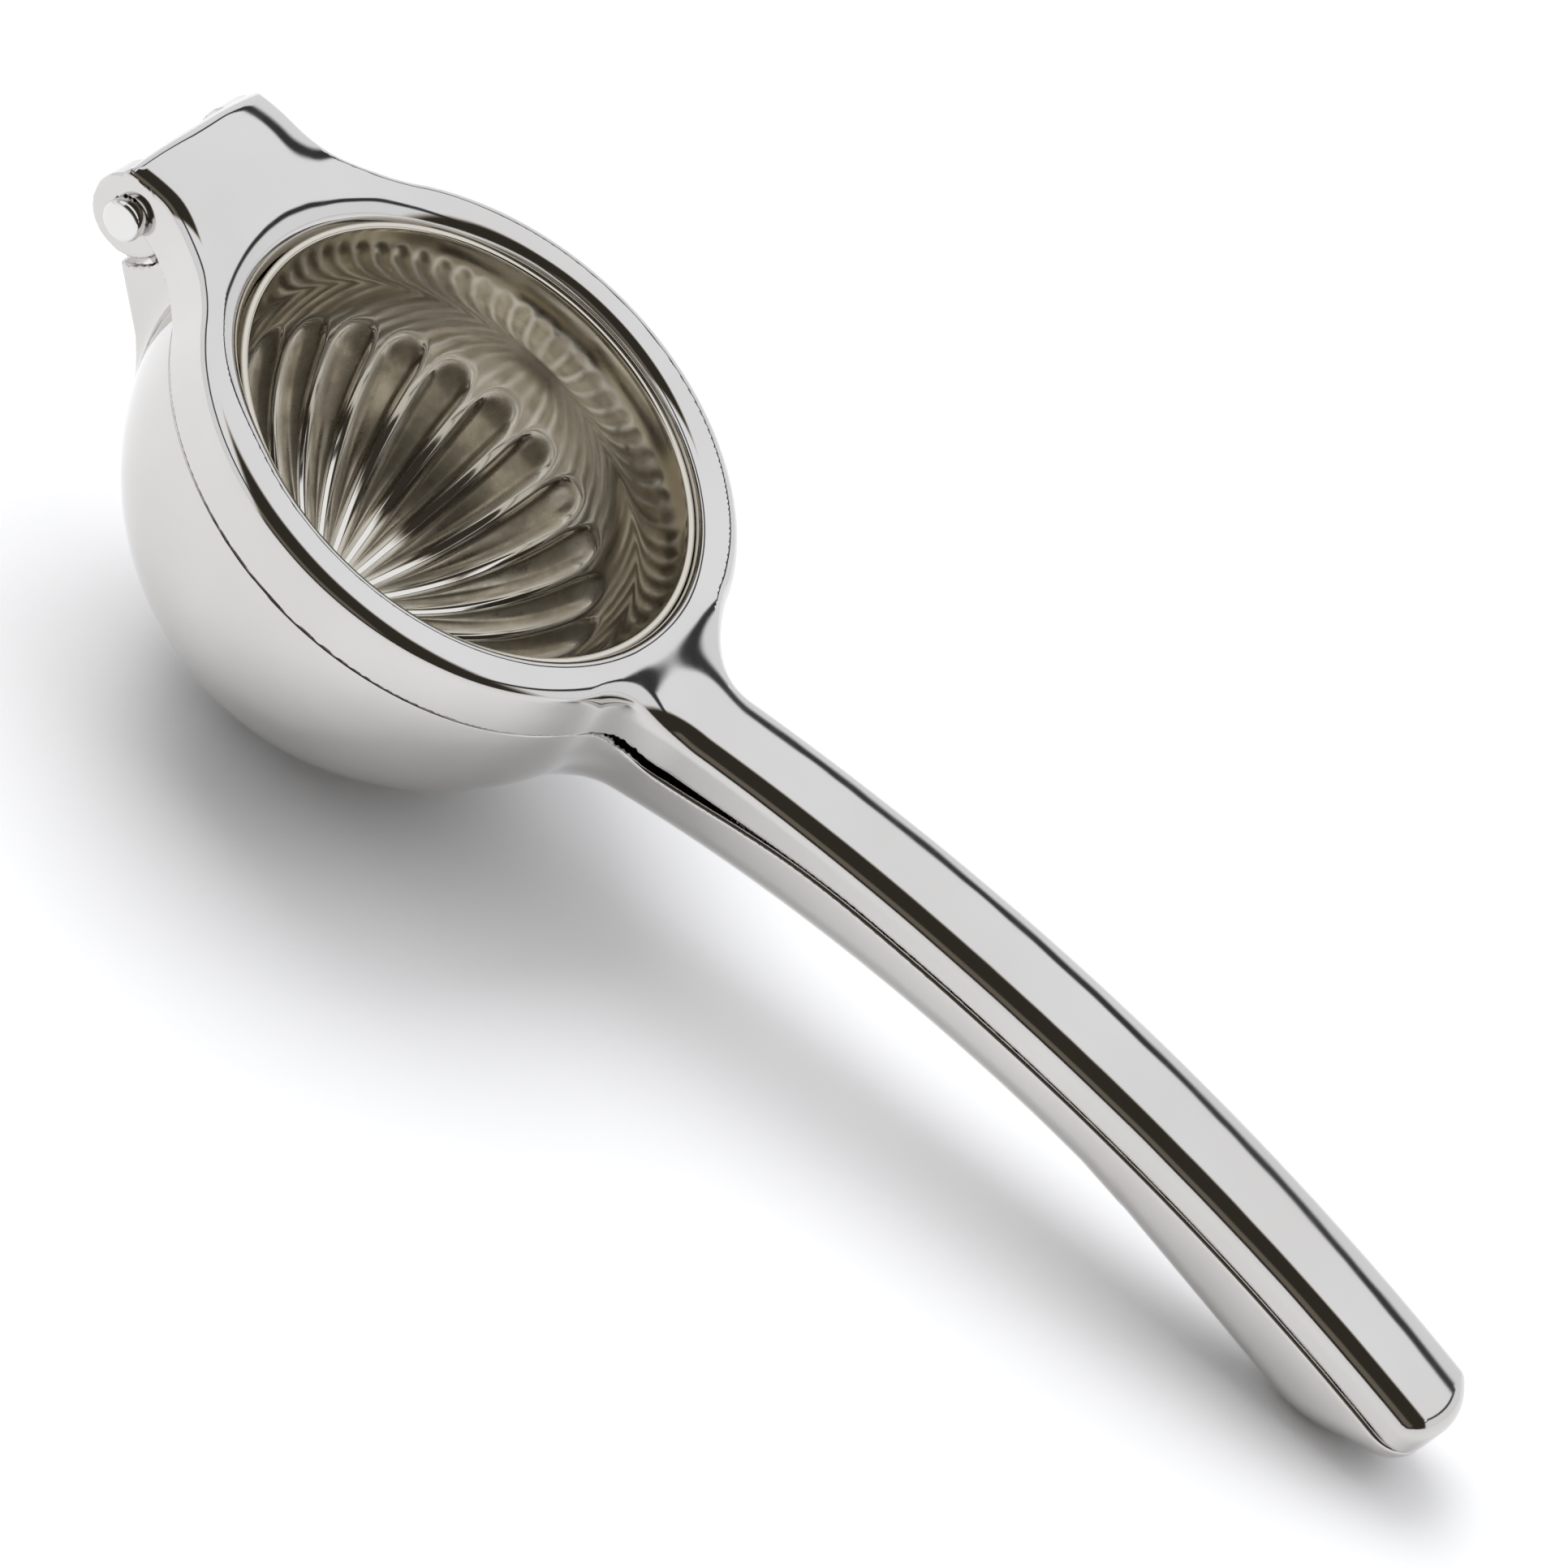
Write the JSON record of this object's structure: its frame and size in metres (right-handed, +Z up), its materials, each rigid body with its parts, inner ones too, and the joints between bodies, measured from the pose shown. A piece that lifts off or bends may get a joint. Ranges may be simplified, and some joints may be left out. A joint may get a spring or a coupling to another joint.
{
  "type": "citrus press juicer",
  "caption": "Hand-held two-lever citrus squeezer: a fluted press bowl folds into a round cup with drain holes, on a riveted hinge.",
  "frame": {"origin": "middle of the closed juicer's footprint, on the surface that it rests on", "axes": "+Z up from that surface, +X along the grips away from the hinge, +Y across"},
  "size_m": [0.2174, 0.078, 0.0629],
  "materials": {
    "polished_chrome": "mirror-polished chrome with faint polishing ripple",
    "satin_metal": "satin flutes between bright grooves, polished band under the mouth",
    "pin_steel": "polished rivet with softly brushed heads"
  },
  "bodies": {
    "cup_half": {"lower_lever": "polished_chrome"},
    "press_half": {"upper_lever": "polished_chrome", "press_bowl": "satin_metal", "hinge_pin": "pin_steel"}
  },
  "joints": [
    {"name": "lever_hinge", "type": "hinge", "parent": "cup_half", "child": "press_half", "pos_m": [-0.10306, 0, 0.05496], "axis": [0, -1, 0], "range_deg": [0, 120]}
  ]
}
